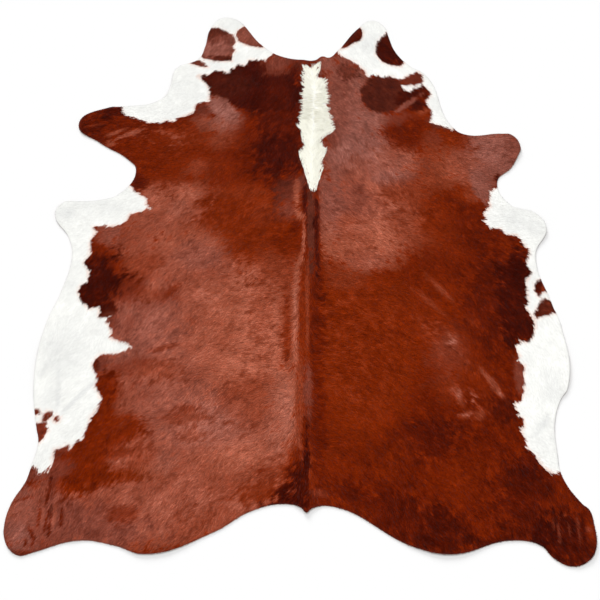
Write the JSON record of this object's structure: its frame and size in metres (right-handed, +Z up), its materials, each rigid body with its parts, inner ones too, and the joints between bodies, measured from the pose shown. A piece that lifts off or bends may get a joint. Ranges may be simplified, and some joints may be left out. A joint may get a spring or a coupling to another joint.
{
  "type": "cowhide rug",
  "caption": "Hair-on cowhide floor rug in its natural outline, red-brown with a white mane stripe and white flanks, lying flat with a soft fold along the spine.",
  "frame": {"origin": "on the floor, under the middle of the hide's length and width", "axes": "+Y towards the neck along the hide's length, +X across it, +Z up out of the coat"},
  "size_m": [1.9679, 2.2797, 0.0145],
  "materials": {
    "brown_coat": "short lying hair on tanned skin, red-brown, mottled from mahogany to rosy tan, with a soft sheen",
    "white_coat": "short lying hair on tanned skin, white with faint grey shading",
    "flesh_side": "suede-like tanned leather of the underside and the cut edge"
  },
  "bodies": {
    "root": {"hide": "brown_coat"}
  },
  "joints": []
}
